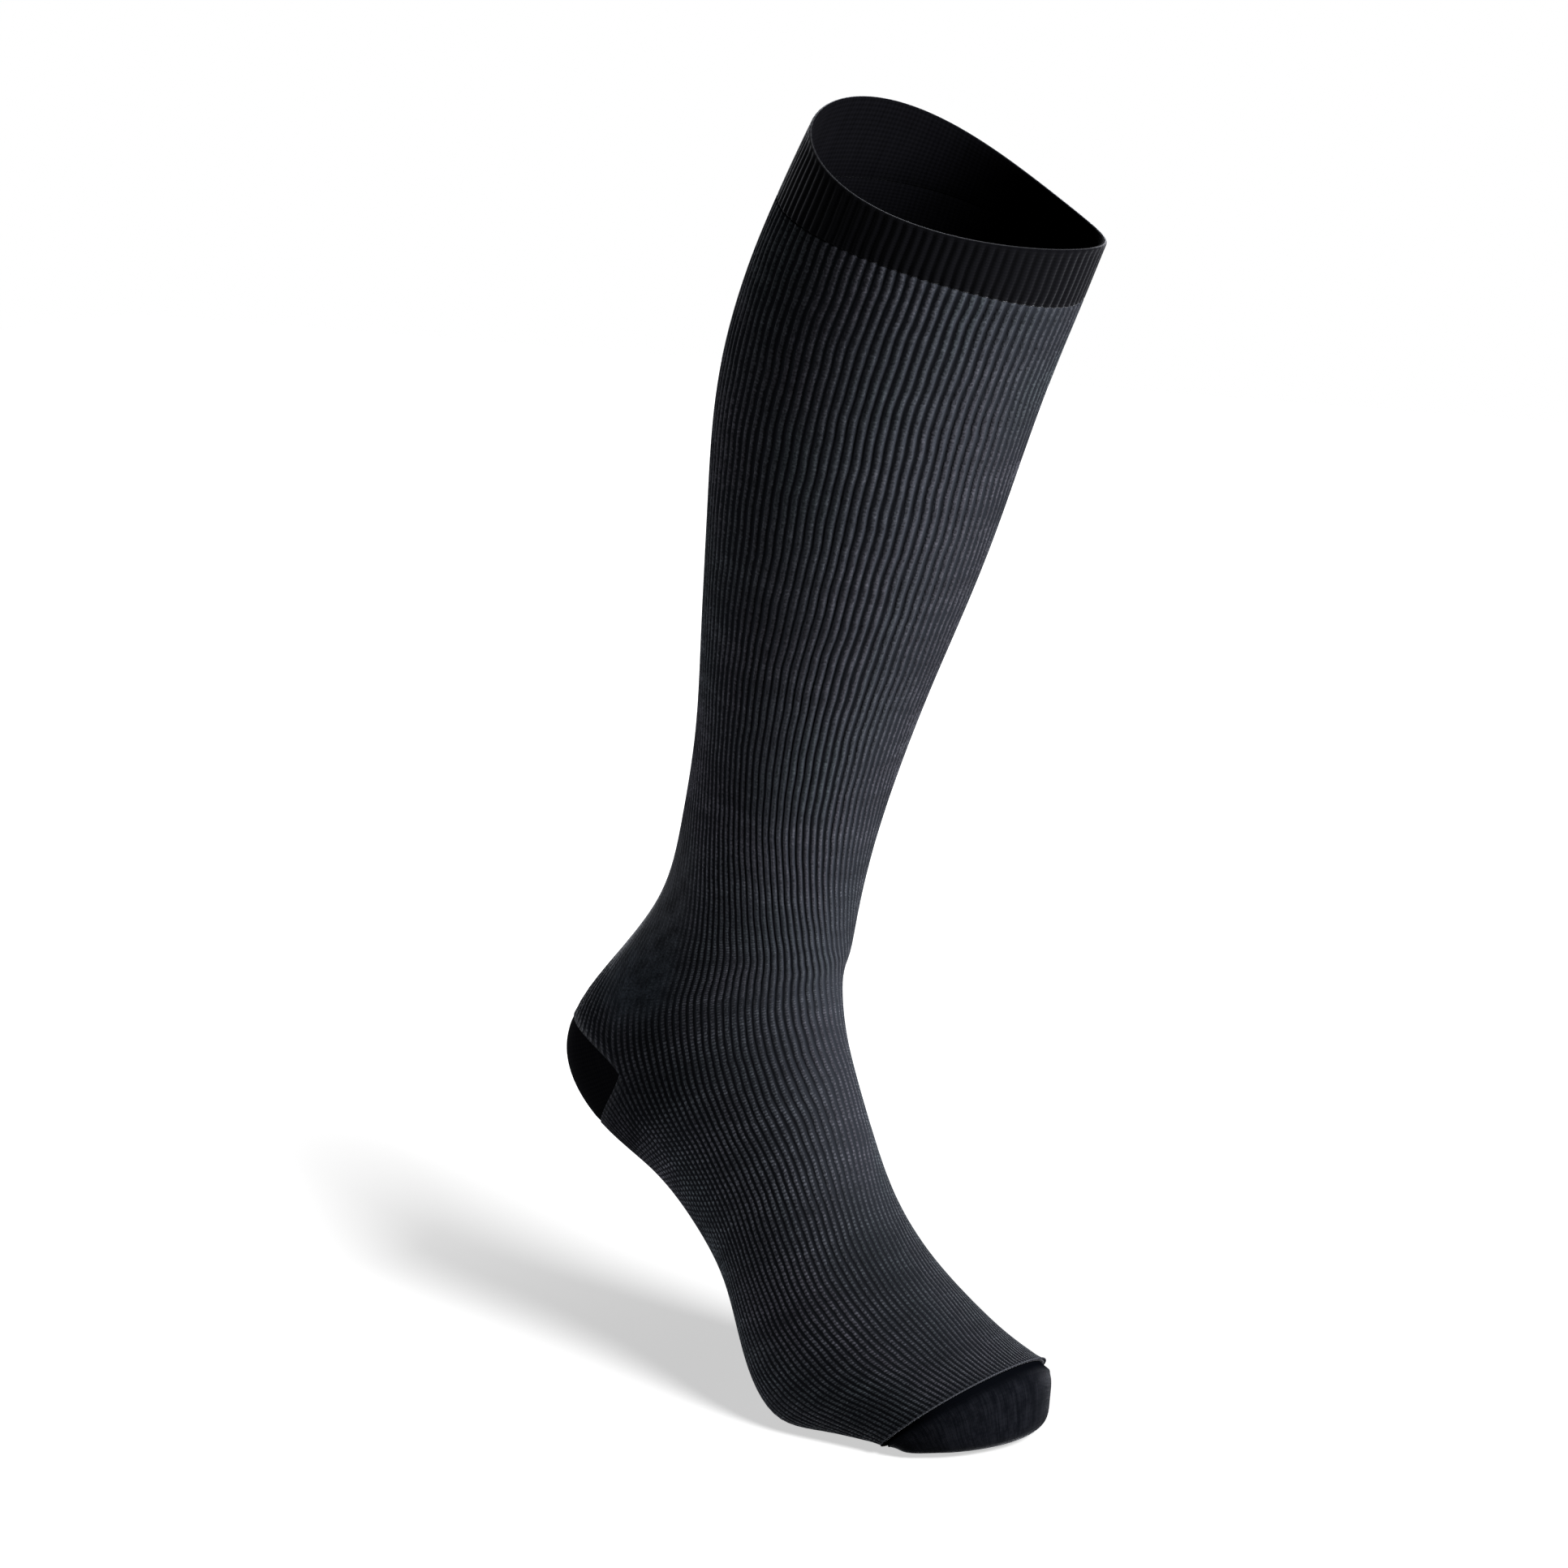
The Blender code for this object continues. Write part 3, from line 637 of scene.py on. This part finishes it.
def makePlainKnit(name):
    # Polyamide jersey, fine and close: the eye sees no stitches, only matt cloth with soft streaks
    look = plainKnits[name]
    material, tree, shader = startMaterial(name)
    knitMap = addNode(tree, "UVMap", uv_map="knit")
    across = addNode(tree, "SeparateXYZ", {0: knitMap})
    finer = addNode(tree, "Math", {0: across.outputs[0], 1: float(look["stitches"])}, operation="MULTIPLY")
    offCrest = addNode(tree, "Math", {0: finer, 1: 0.5}, operation="PINGPONG")
    offStitch = addNode(tree, "Math", {0: across.outputs[1], 1: 0.5}, operation="PINGPONG")
    both = addNode(tree, "Math", {0: offCrest, 1: offStitch}, operation="ADD")
    rise = addNode(tree, "MapRange", {"Value": both, "To Min": 1.0, "To Max": 0.0})
    along = addNode(tree, "Mapping", {0: knitMap, 3: plainSurface["streakScale"]})
    streak = addNode(tree, "TexNoise", {"Vector": along, "Scale": 1.0, "Detail": 3.0}, noise_dimensions="2D")
    low, high = plainSurface["streakRange"]
    streaked = addNode(tree, "MapRange", {"Value": streak, "From Min": low, "From Max": high})
    share = addNode(tree, "Mix", {"Factor": look["streak"], 2: rise, 3: streaked}, data_type="FLOAT")
    shown = share.outputs[0]
    if "lipShadowCourses" in look:
        # painted shadow under the foot's edge: the colour and the sheen weight fall towards the seam
        lipShadow = addNode(tree, "MapRange", {
            "Value": across.outputs[1], "From Min": look["lipShadowFrom"],
            "From Max": look["lipShadowFrom"] + look["lipShadowCourses"],
            "To Min": look["lipShadowDepth"], "To Max": 1.0,
        }, interpolation_type="SMOOTHSTEP")
        patchMap = addNode(tree, "Mapping", {0: knitMap, 3: plainSurface["patchScale"]})
        patches = addNode(tree, "TexNoise", {
            "Vector": patchMap, "Scale": 1.0, "Detail": 4.0, "Roughness": plainSurface["patchRoughness"],
        }, noise_dimensions="2D")
        mottled = addNode(tree, "MapRange", {
            "Value": patches,
            "From Min": plainSurface["patchRange"][0], "From Max": plainSurface["patchRange"][1],
            "To Min": 1.0 - look["mottle"], "To Max": 1.0 + look["mottle"],
        })
        brushed = addNode(tree, "Math", {0: shown, 1: mottled}, operation="MULTIPLY")
        shown = addNode(tree, "Math", {0: brushed, 1: lipShadow}, operation="MULTIPLY")
        bloom = addNode(tree, "Math", {0: lipShadow, 1: look["sheen"]}, operation="MULTIPLY")
        tree.links.new(bloom.outputs[0], shader.inputs["Sheen Weight"])
    colour = addNode(tree, "Mix", {
        "Factor": shown, 6: linearColour(look["groove"]), 7: linearColour(look["crest"]),
    }, data_type="RGBA")
    bump = addNode(tree, "Bump", {
        "Height": rise, "Strength": plainSurface["bump"], "Distance": plainSurface["bumpHeight"],
    })
    tree.links.new(colour.outputs[2], shader.inputs["Base Color"])
    tree.links.new(bump.outputs[0], shader.inputs["Normal"])
    clothSockets(shader, {**ribKnit, **look})
    return material

seamYarn = {
    "radius": 0.3, "beadPitch": 1.3, "beadDepth": 0.4, "stepsPerBead": 6, "sides": 8,
    "out": 0.05, "back": 0.3, "colour": "#4A4C52", "shadeColour": "#1C1C20", "shadeScale": 1.7,
    "ringSteps": 2001,
}

def makeYarn():
    # Linking yarn: twisted polyamide, a little lighter and smoother than the knit
    material, tree, shader = startMaterial("linkingYarn")
    knitMap = addNode(tree, "UVMap", uv_map="knit")
    wave = addNode(tree, "TexNoise", {
        "Vector": knitMap, "Scale": seamYarn["shadeScale"], "Detail": 2.0,
    }, noise_dimensions="2D")
    shade = addNode(tree, "Mix", {
        "Factor": wave, 6: linearColour(seamYarn["shadeColour"]), 7: linearColour(seamYarn["colour"]),
    }, data_type="RGBA")
    tree.links.new(shade.outputs[2], shader.inputs["Base Color"])
    clothSockets(shader, {**ribKnit, "sheen": 0.0})
    return material

tube = makeForm(tubeSections)
seamTilt = np.radians(tube["tilt"][-1])
seamSection = dict(zip(sectionColumns, tubeSections["toe seam"]))
seamSection["x"] += knit["seamGap"] * np.sin(seamTilt)
seamSection["z"] -= knit["seamGap"] * np.cos(seamTilt)
seamSection["stretch"] = seamSection["turn"] = 0
cap = makeForm({"toe seam": tuple(seamSection.values()), **capSections})
print(f"Form measured: {tube['end']:.0f} mm from rim to toe seam")

ribbedKnit = makeRibKnit(ribKnit)
bandKnit, heelKnit, toeKnit, insideKnit = (makePlainKnit(name) for name in plainKnits)
yarn = makeYarn()

band = {"end": 24.2, "outerRows": 12, "innerRows": 6, "insideFrom": 0.7}

def makeTopBand():
    bulge = knit["edgeBulge"]
    top, bottom = bulge, band["end"] - knit["seamGap"] - bulge
    down = np.linspace(top, bottom, band["outerRows"])
    up = np.linspace(bottom, top, band["innerRows"])
    lower = edgeRows(outerDepth, innerDepth, 1)
    upper = edgeRows(innerDepth, outerDepth, -1)
    rows = joinRows((down, outerDepth), (bottom + lower[0], lower[1]), (up, innerDepth),
                    (top + upper[0], upper[1]), (top, outerDepth))
    points, coordinates = tubeStrip(tube, level, rows)
    cloth = Cloth()
    number = cloth.add(points, coordinates)
    finish = (rows[1][:-1] > band["insideFrom"])[:, None].astype(int)
    cloth.face(number, finish, True, knit["ribs"])
    return cloth.make("topBandKnit", [bandKnit, insideKnit])

leg = {"outerRows": 82, "innerRows": 14, "footOuterRows": 50, "footInnerRows": 10, "insideFrom": 0.3}

def makeLegKnit():
    # two strips share the course through the pocket's points, but for a slit behind
    bulge = knit["edgeBulge"]
    top, middle = band["end"] + bulge, heel["reach"]
    upper = edgeRows(innerDepth, outerDepth, -1)
    legRows = joinRows((np.linspace(middle, top, leg["innerRows"]), innerDepth), (top + upper[0], upper[1]),
                       (np.linspace(top, middle, leg["outerRows"]), outerDepth))
    bottom = tube["end"] - bulge
    lower = edgeRows(outerDepth, innerDepth, 1)
    footRows = joinRows((np.linspace(middle, bottom, leg["footOuterRows"]), outerDepth),
                        (bottom + lower[0], lower[1]),
                        (np.linspace(bottom, middle, leg["footInnerRows"]), innerDepth))
    cloth = Cloth()
    numbers = []
    for bend, rows in ((abovePocket, legRows), (belowPocket, footRows)):
        points, coordinates = tubeStrip(tube, bend, rows)
        number = cloth.add(points, coordinates)
        finish = (rows[1][:-1] > leg["insideFrom"])[:, None].astype(int)
        cloth.face(number, finish, True, knit["ribs"])
        numbers.append(number)
    half = heel["halfRibs"] * knit["pointsPerRib"]
    back = knit["ribs"] * knit["pointsPerRib"] // 2
    slit = slice(back - half, back + half + 1)
    for number in numbers:
        cloth.face(np.stack([number[-1, slit], number[0, slit]]), 0, False)
    return cloth.make("legKnit", [ribbedKnit, insideKnit])

def makeHeelPocket():
    # a lens that fills the slit: upper and lower edges at reach -/+ (rise or drop - gap) lens
    half = heel["halfRibs"] / knit["ribs"]
    across = np.linspace(-half, half, heel["columns"] + 1)
    lens = pocketLens(0.5 + across)
    share = 0.5 + across * (1 - heel["pointGap"] / (heel["halfRibs"] * heel["ribPitch"]))
    upper = heel["reach"] - (heel["rise"] - knit["seamGap"]) * lens
    lower = heel["reach"] + (heel["drop"] - knit["seamGap"]) * lens
    down = np.linspace(0, 1, heel["rows"])
    edge = np.linspace(0, 1, heel["edgeSteps"] + 2)[1:-1]
    place = np.concatenate([down, 1 + 0 * edge, down[::-1], 0 * edge, [0]])
    depth = np.concatenate([0 * down, edge, 1 + 0 * down, edge[::-1], [0]])
    reach = upper + (lower - upper) * place[:, None]
    turned = heel["edgeTurn"] * (1 - ease(np.minimum(place, 1 - place) * heel["edgeShare"]))[:, None]
    outerInset = heel["sink"] + turned
    inset = outerInset * (1 - depth[:, None]) + (knit["wall"] + knit["ribHeight"]) * depth[:, None]
    share = share + 0 * reach
    points = wallPoints(tube, reach, share, inset + 0 * reach)
    course = reach / knit["coursePitch"]
    cloth = Cloth()
    number = cloth.add(points, np.stack([share * knit["ribs"], course], -1))
    cloth.face(number, (depth[:-1] > heel["insideFrom"])[:, None].astype(int), False)
    return cloth.make("heelPocketKnit", [heelKnit, insideKnit])

toe = {
    "columns": 240, "rows": 46, "soleRows": 8, "innerRows": 16,
    "step": 0.6,            # how far the cap's surface lies under the foot's
    "ridgeAt": 3.4, "ridgeWidth": 0.8, "ridgeHeight": 0.4,
    "grooveDepth": 0.9, "grooveWidth": 1.8,     # it dips under the foot's edge
    "stitches": 200, "course": 1.1,
}

def makeToeCap():
    # rings from the seam to the sole, then the last ring drawn in to its middle
    outerReach = np.linspace(0, cap["end"], toe["rows"])
    innerReach = np.linspace(cap["end"], 0, toe["innerRows"])
    reach = np.concatenate([outerReach, innerReach])
    depth = np.concatenate([0 * outerReach, 1 + 0 * innerReach])
    share = np.arange(toe["columns"]) / toe["columns"]
    reach, share = np.meshgrid(reach, share, indexing="ij")
    ridge = toe["ridgeHeight"] * np.exp(-((reach - toe["ridgeAt"]) / toe["ridgeWidth"]) ** 2)
    ridge = ridge - toe["grooveDepth"] * np.exp(-(reach / toe["grooveWidth"]) ** 2)
    inset = toe["step"] - ridge * (1 - depth[:, None]) + knit["wall"] * depth[:, None]
    flatness = ease(1 - reach / relief["flatLength"])
    points = wallPoints(cap, reach, share, inset, flatness, tube["tilt"][-1])
    coordinates = np.stack([share * toe["stitches"], reach / toe["course"]], -1)
    shrink = np.linspace(1, 0, toe["soleRows"])[1:, None, None]
    strips = []
    for row, order in ((toe["rows"] - 1, 1), (toe["rows"], -1)):
        middle = points[row].mean(axis=0)
        strips.append((middle + (points[row] - middle) * shrink)[::order])
    solePoints = np.concatenate(strips)
    soleCoordinates = np.broadcast_to(coordinates[toe["rows"]], (len(solePoints), toe["columns"], 2))
    rows = toe["rows"]
    cloth = Cloth()
    whole = np.concatenate([points[:rows], solePoints, points[rows:], points[:1]])
    wholeMap = np.concatenate([coordinates[:rows], soleCoordinates, coordinates[rows:], coordinates[:1]])
    number = cloth.add(whole, wholeMap)
    finish = np.zeros(len(whole) - 1, int)
    finish[rows + toe["soleRows"] - 2:-1] = 1
    cloth.face(number, finish[:, None], True, toe["stitches"])
    return cloth.make("toeCapKnit", [toeKnit, insideKnit])

def makeSeamYarn():
    # a beaded tube along the foot's edge: radius (1 - depth (1 + cos 2 pi beads) / 2)
    dense = np.linspace(0, 1, seamYarn["ringSteps"])
    edge, out = tube["end"] - seamYarn["back"], -seamYarn["out"] - relief["lipHeight"]
    ring = wallPoints(tube, edge + 0 * dense, dense, out + 0 * dense, 1.0, tube["tilt"][-1])
    way = np.concatenate([[0], np.cumsum(np.linalg.norm(np.diff(ring, axis=0), axis=1))])
    beads = int(round(way[-1] / mm / seamYarn["beadPitch"]))
    steps = beads * seamYarn["stepsPerBead"]
    at = np.arange(steps) / steps
    share = np.interp(at * way[-1], way, dense)
    turn = 2 * np.pi * np.arange(seamYarn["sides"]) / seamYarn["sides"]
    size = seamYarn["radius"] * (1 - seamYarn["beadDepth"] * (1 + np.cos(2 * np.pi * at * beads)) / 2)
    share, angle = np.meshgrid(share, turn, indexing="ij")
    reach = edge + 0 * share
    centre = wallPoints(tube, reach, share, out + 0 * share, 1.0, tube["tilt"][-1])
    normal = outward(tube, reach, ribAngle(tube, reach, share))
    along = np.roll(centre, -1, axis=0) - np.roll(centre, 1, axis=0)
    along = along / np.linalg.norm(along, axis=-1, keepdims=True)
    side = np.cross(along, normal)
    spoke = normal * np.cos(angle)[..., None] + side * np.sin(angle)[..., None]
    points = centre + size[:, None, None] * mm * spoke
    beadNumber = np.broadcast_to((at * beads)[:, None], share.shape)
    coordinates = np.stack([beadNumber, angle / np.pi], -1)
    closed = np.concatenate([points, points[:1]])
    closedMap = np.concatenate([coordinates, coordinates[:1] + np.array([beads, 0])])
    cloth = Cloth()
    number = cloth.add(closed, closedMap)
    number = np.concatenate([number, number[:, :1]], axis=1)
    cloth.face(number, 0, False)
    return cloth.make("toeSeamYarn", [yarn])

worn = {"widthStretch": 1.25, "lengthStretch": 1.05}      # over the size it is knitted to

def wayRound(form, reach, start=0.0, stop=1.0):
    # sum of the chords of the outer form at one reach, between two shares of the ribs, in millimetres
    share = np.linspace(start, stop, measure["ringSteps"])
    ring = pointOn(form, level(reach, share), ribAngle(form, level(reach, share), share))
    return np.linalg.norm(np.diff(ring, axis=0), axis=1).sum()

def wayDown(form, start, stop, share):
    # sum of the chords along one rib
    reach = np.linspace(start, stop, measure["stations"])
    line = pointOn(form, reach, ribAngle(form, reach, level(share, reach)))
    return np.linalg.norm(np.diff(line, axis=0), axis=1).sum()

def declareSheet(piece, width, length):
    # width and length as worn, over how far each is stretched; so is the area, half the closed surface
    body = bmesh.new()
    body.from_mesh(piece.data)
    surface = sum(face.calc_area() for face in body.faces) / 2
    body.free()
    area = surface / worn["widthStretch"] / worn["lengthStretch"]
    flat = (width * mm / worn["widthStretch"], length * mm / worn["lengthStretch"])
    area = min(area, flat[0] * flat[1])
    print(f"{piece.name}: worn {width:.0f} x {length:.1f} mm,",
          f"flat {flat[0] / mm:.0f} x {flat[1] / mm:.1f} mm, {area * 10000:.0f} cm2")

topBand = makeTopBand()
legKnit = makeLegKnit()
heelPocket = makeHeelPocket()
toeCap = makeToeCap()
toeSeam = makeSeamYarn()
for piece, solid, slot in (
    (topBand, "top_band", "band_knit"),
    (legKnit, "leg_and_foot", "ribbed_knit"),
    (heelPocket, "heel_pocket", "heel_knit"),
    (toeCap, "toe_cap", "toe_knit"),
):
    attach(piece, "root")
    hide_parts(solid)
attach(toeSeam, "root")
girthsAt = np.linspace(band["end"], tube["end"], measure["girthSteps"])
widest = max(wayRound(tube, reach) for reach in girthsAt)
half = heel["halfRibs"] / knit["ribs"]
declareSheet(topBand, wayRound(tube, band["end"] / 2), band["end"])
declareSheet(legKnit, widest, tube["end"] - band["end"])
declareSheet(heelPocket, wayRound(tube, heel["reach"], 0.5 - half, 0.5 + half),
             wayDown(tube, heel["reach"] - heel["rise"], heel["reach"] + heel["drop"], 0.5))
declareSheet(toeCap, wayRound(cap, 0), cap["end"] + cap["depth"][-1] / 2)
print("Pieces made")

studio = {
    "floor": 6.0,           # metres across
    "floorColour": "#F2F2F2",
    "glowNear": 0.58, "glowFar": 1.0,       # the paper floor glows, a painted light, more so away from the foot
    "glowStart": 0.15, "glowEnd": 0.8,
    "ambient": 0.01,
    "floorDrop": 0.0002,    # under the lowest point
    "sunAzimuth": 61, "sunElevation": 30, "sunDistance": 2.0, "sunStrength": 3.1, "sunAngle": 14,
    "legTarget": (-0.06, 0, -0.23), "footTarget": (-0.08, 0, -0.38),
    "azimuth": 35, "elevation": 10, "distance": 2300, "right": 66.76, "up": 217.53,
    "sensor": 36.0, "pixelsAcross": 1932, "focalPixels": 7820, "clipEnd": 100,
}
lamps = {
    # name: azimuth, elevation, distance, size, power, what it is aimed at
    "key": (95, 25, 1.6, 0.8, 36, "legTarget"),
    "side": (105, 0, 1.6, 1.0, 59, "legTarget"),
    "low": (-40, -5, 0.4, 0.25, 2.2, "footTarget"),
    "back": (205, 20, 1.6, 1.0, 60, "legTarget"),
    "rear": (245, 10, 1.6, 0.8, 11, "legTarget"),
}

def compass(azimuth, elevation):
    # unit vector towards a place seen at that azimuth and elevation: (sin a cos e, -cos a cos e, sin e)
    a, e = np.radians(azimuth), np.radians(elevation)
    return np.array([np.sin(a) * np.cos(e), -np.cos(a) * np.cos(e), np.sin(e)])

def facing(azimuth, elevation, place):
    # a matrix whose -Z looks from the place back along the compass direction, with level X
    back = compass(azimuth, elevation)
    right = np.array([np.cos(np.radians(azimuth)), np.sin(np.radians(azimuth)), 0])
    up = np.cross(back, right)
    matrix = np.eye(4)
    matrix[:3, 0], matrix[:3, 1], matrix[:3, 2], matrix[:3, 3] = right, up, back, place
    return Matrix(matrix.tolist())

def makeFloor():
    # a square just under the lowest point, which glows more the further it is from the origin
    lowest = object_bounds()[0][2] - studio["floorDrop"]
    half = studio["floor"] / 2
    mesh = bpy.data.meshes.new("paperFloor")
    corners = [(-half, -half, lowest), (half, -half, lowest), (half, half, lowest), (-half, half, lowest)]
    mesh.from_pydata(corners, [], [(0, 1, 2, 3)])
    # matt studio paper: the eye sees no gloss, and no grain at this distance
    material, tree, shader = startMaterial("mattPaper")
    shader.inputs["Base Color"].default_value = linearColour(studio["floorColour"])
    shader.inputs["Roughness"].default_value = 1.0
    shader.inputs["Specular IOR Level"].default_value = 0.0
    shader.inputs["Emission Color"].default_value = (1, 1, 1, 1)
    place = addNode(tree, "TexCoord")
    onFloor = addNode(tree, "VectorMath", {
        0: place.outputs["Object"], 1: (1, 1, 0),
    }, operation="MULTIPLY")
    away = addNode(tree, "VectorMath", {0: onFloor}, operation="LENGTH")
    # painted light: the paper's glow
    glow = addNode(tree, "MapRange", {
        "Value": away.outputs["Value"], "From Min": studio["glowStart"], "From Max": studio["glowEnd"],
        "To Min": studio["glowNear"], "To Max": studio["glowFar"],
    }, interpolation_type="SMOOTHSTEP")
    tree.links.new(glow.outputs[0], shader.inputs["Emission Strength"])
    mesh.materials.append(material)
    floor = bpy.data.objects.new("paperFloor", mesh)
    bpy.context.scene.collection.objects.link(floor)
    floor.visible_diffuse = False       # black flags keep the paper's light off the cloth
    floor.visible_glossy = False

def makeSky():
    # white to the camera, and hardly any light on the cloth
    world = bpy.data.worlds.new("studio")
    world.use_nodes = True
    tree = world.node_tree
    tree.nodes.clear()
    seen = addNode(tree, "Background", {0: (1, 1, 1, 1), 1: 1.0})
    lighting = addNode(tree, "Background", {0: (1, 1, 1, 1), 1: studio["ambient"]})
    path = addNode(tree, "LightPath")
    either = addNode(tree, "MixShader", {0: path.outputs["Is Camera Ray"], 1: lighting, 2: seen})
    addNode(tree, "OutputWorld", {0: either})
    bpy.context.scene.world = world

def makeLights():
    sun = bpy.data.lights.new("sun", "SUN")
    sun.energy = studio["sunStrength"]
    sun.angle = np.radians(studio["sunAngle"])
    # flags keep the sun off the cloth and the lamps off the paper
    clothOnly, paperOnly = bpy.data.collections.new("clothOnly"), bpy.data.collections.new("paperOnly")
    paperOnly.objects.link(bpy.data.objects["paperFloor"])
    for piece in (topBand, legKnit, heelPocket, toeCap, toeSeam):
        clothOnly.objects.link(piece)
    placed = [(
        sun, studio["sunAzimuth"], studio["sunElevation"], studio["sunDistance"], "legTarget", paperOnly,
    )]
    for name, (azimuth, elevation, distance, size, power, target) in lamps.items():
        light = bpy.data.lights.new(name, "AREA")
        light.shape = "DISK"
        light.size = size
        light.energy = power
        placed.append((light, azimuth, elevation, distance, target, clothOnly))
    for light, azimuth, elevation, distance, target, receivers in placed:
        lamp = bpy.data.objects.new(light.name, light)
        place = np.array(studio[target]) + distance * compass(azimuth, elevation)
        lamp.matrix_world = facing(azimuth, elevation, place)
        lamp.visible_camera = False
        lamp.light_linking.receiver_collection = receivers
        bpy.context.scene.collection.objects.link(lamp)

def makeCamera():
    # focal length = sensor x focal pixels / pixels across
    back = compass(studio["azimuth"], studio["elevation"])
    right = np.array([np.cos(np.radians(studio["azimuth"])), np.sin(np.radians(studio["azimuth"])), 0])
    place = (back * studio["distance"] - right * studio["right"] - np.cross(back, right) * studio["up"]) * mm
    lens = bpy.data.cameras.new("camera")
    lens.sensor_width = studio["sensor"]
    lens.lens = studio["sensor"] * studio["focalPixels"] / studio["pixelsAcross"]
    lens.clip_end = studio["clipEnd"]
    camera = bpy.data.objects.new("camera", lens)
    camera.matrix_world = facing(studio["azimuth"], studio["elevation"], place)
    bpy.context.scene.collection.objects.link(camera)
    bpy.context.scene.camera = camera

makeFloor()
makeSky()
makeLights()
makeCamera()
bpy.context.scene.view_settings.view_transform = "Standard"
print("Studio made")
